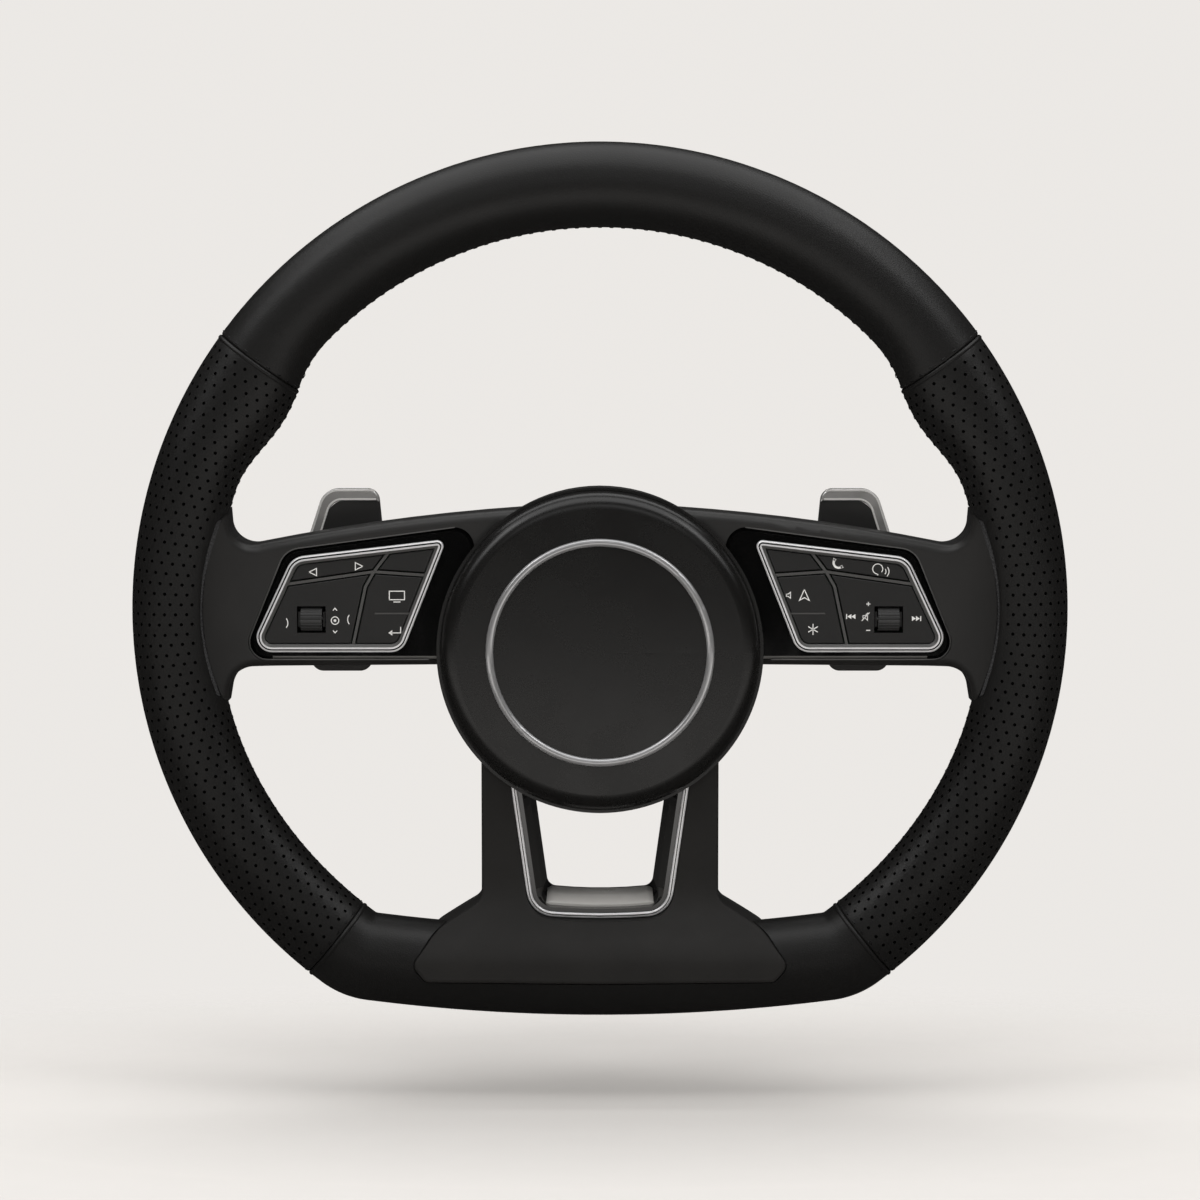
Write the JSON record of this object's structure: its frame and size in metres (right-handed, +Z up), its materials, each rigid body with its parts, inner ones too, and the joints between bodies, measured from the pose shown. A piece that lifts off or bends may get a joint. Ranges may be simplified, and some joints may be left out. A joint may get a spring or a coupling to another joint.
{
  "type": "car steering wheel",
  "caption": "Flat-bottomed leather-covered car steering wheel with a round airbag hub, thumb switch pods, rollers and shift paddles, turned on its column bore.",
  "frame": {"origin": "on the axis of the column bore, at the bore's rear end", "axes": "+X to the driver's right, +Y away from the driver along the column, +Z up with the flat side down"},
  "size_m": [0.37, 0.0679, 0.3463],
  "materials": {
    "leather_black": "fine-grained, matt",
    "satin_trim": "soft satin",
    "gloss_black": "polished",
    "bright_chrome": "satin bright",
    "rear_plastic": "fine-grained",
    "key_black": "soft matt",
    "roller_metal": "satin",
    "paddle_black": "satin",
    "cap_aluminium": "brushed",
    "cast_metal": "as cast",
    "steel": "plated",
    "foam_grey": "moulded",
    "buffer_rubber": "moulded",
    "cushion_cloth": "woven",
    "board_green": "lacquered"
  },
  "bodies": {
    "wheel": {"armature": "cast_metal", "hub_insert": "steel", "rim_foam": "foam_grey", "top_leather": "leather_black", "bottom_leather": "leather_black", "lower_spoke_trim": "satin_trim", "lower_chrome_trim": "bright_chrome", "lower_gloss_liner": "gloss_black", "rear_cover": "rear_plastic", "rear_cover_screws": "steel", "horn_buffers": "buffer_rubber", "left_grip_leather": "leather_black", "right_grip_leather": "leather_black", "left_spoke_trim": "satin_trim", "right_spoke_trim": "satin_trim", "left_gloss_panel": "gloss_black", "right_gloss_panel": "gloss_black", "left_pod_frame": "bright_chrome", "right_pod_frame": "bright_chrome", "left_key_divider": "satin_trim", "right_key_divider": "satin_trim", "left_pod_housing": "rear_plastic", "right_pod_housing": "rear_plastic", "left_pod_board": "board_green", "right_pod_board": "board_green", "left_paddle_pin": "steel", "right_paddle_pin": "steel", "left_paddle_bracket": "rear_plastic", "right_paddle_bracket": "rear_plastic"},
    "airbag": {"airbag_cover": "satin_trim", "cover_ring": "bright_chrome", "airbag_carrier": "steel", "gas_generator": "steel", "generator_nuts": "steel", "airbag_cushion": "cushion_cloth", "horn_pins": "steel"},
    "left_shift_paddle": {"left_paddle": "paddle_black", "left_paddle_cap": "cap_aluminium"},
    "left_tab": {"left_tab_key": "key_black"},
    "left_blank": {"left_blank_key": "key_black"},
    "left_view": {"left_view_key": "key_black"},
    "left_selector": {"left_selector_key": "key_black"},
    "left_thumb_push": {"left_roller_cradle": "key_black", "left_roller_axle": "steel"},
    "left_thumb_roller": {"left_roller": "roller_metal"},
    "right_shift_paddle": {"right_paddle": "paddle_black", "right_paddle_cap": "cap_aluminium"},
    "right_tab": {"right_tab_key": "key_black"},
    "right_blank": {"right_blank_key": "key_black"},
    "right_view": {"right_view_key": "key_black"},
    "right_selector": {"right_selector_key": "key_black"},
    "right_thumb_push": {"right_roller_cradle": "key_black", "right_roller_axle": "steel"},
    "right_thumb_roller": {"right_roller": "roller_metal"}
  },
  "joints": [
    {"name": "horn_press", "type": "slide", "parent": "wheel", "child": "airbag", "axis": [0, 1, 0], "range_m": [0, 0.002], "stiffness_N_per_m": 18000, "deforming": ["horn_buffers"]},
    {"name": "left_paddle_pull", "type": "hinge", "parent": "wheel", "child": "left_shift_paddle", "pos_m": [-0.044, -0.016, 0.005], "axis": [0, 0, 1], "range_deg": [0, 4], "stiffness_Nm_per_rad": 6},
    {"name": "left_tab_rock", "type": "hinge", "parent": "wheel", "child": "left_tab", "pos_m": [-0.1043, -0.0432, 0.0177], "axis": [0, 0, 1], "range_deg": [-2, 2], "stiffness_Nm_per_rad": 1.5},
    {"name": "left_selector_rock", "type": "hinge", "parent": "wheel", "child": "left_selector", "pos_m": [-0.112, -0.0432, -0.0014], "axis": [0, 0, 1], "range_deg": [-2, 2], "stiffness_Nm_per_rad": 1.5},
    {"name": "left_view_rock", "type": "hinge", "parent": "wheel", "child": "left_view", "pos_m": [-0.0845, -0.0432, -0.0006], "axis": [1, 0, 0], "range_deg": [-2, 2], "stiffness_Nm_per_rad": 1.5},
    {"name": "left_blank_press", "type": "slide", "parent": "wheel", "child": "left_blank", "axis": [0, 1, 0], "range_m": [0, 0.0008], "stiffness_N_per_m": 3500},
    {"name": "left_thumb_press", "type": "slide", "parent": "wheel", "child": "left_thumb_push", "axis": [0, 1, 0], "range_m": [0, 0.0007], "stiffness_N_per_m": 4000},
    {"name": "left_thumb_spin", "type": "hinge", "parent": "left_thumb_push", "child": "left_thumb_roller", "pos_m": [-0.1145, -0.0463, -0.003], "axis": [1, 0, 0], "continuous": true},
    {"name": "right_paddle_pull", "type": "hinge", "parent": "wheel", "child": "right_shift_paddle", "pos_m": [0.044, -0.016, 0.005], "axis": [0, 0, -1], "range_deg": [0, 4], "stiffness_Nm_per_rad": 6},
    {"name": "right_tab_rock", "type": "hinge", "parent": "wheel", "child": "right_tab", "pos_m": [0.1043, -0.0432, 0.0177], "axis": [0, 0, -1], "range_deg": [-2, 2], "stiffness_Nm_per_rad": 1.5},
    {"name": "right_selector_rock", "type": "hinge", "parent": "wheel", "child": "right_selector", "pos_m": [0.112, -0.0432, -0.0014], "axis": [0, 0, -1], "range_deg": [-2, 2], "stiffness_Nm_per_rad": 1.5},
    {"name": "right_view_rock", "type": "hinge", "parent": "wheel", "child": "right_view", "pos_m": [0.0845, -0.0432, -0.0006], "axis": [1, 0, 0], "range_deg": [-2, 2], "stiffness_Nm_per_rad": 1.5},
    {"name": "right_blank_press", "type": "slide", "parent": "wheel", "child": "right_blank", "axis": [0, 1, 0], "range_m": [0, 0.0008], "stiffness_N_per_m": 3500},
    {"name": "right_thumb_press", "type": "slide", "parent": "wheel", "child": "right_thumb_push", "axis": [0, 1, 0], "range_m": [0, 0.0007], "stiffness_N_per_m": 4000},
    {"name": "right_thumb_spin", "type": "hinge", "parent": "right_thumb_push", "child": "right_thumb_roller", "pos_m": [0.1145, -0.0463, -0.003], "axis": [1, 0, 0], "continuous": true}
  ]
}
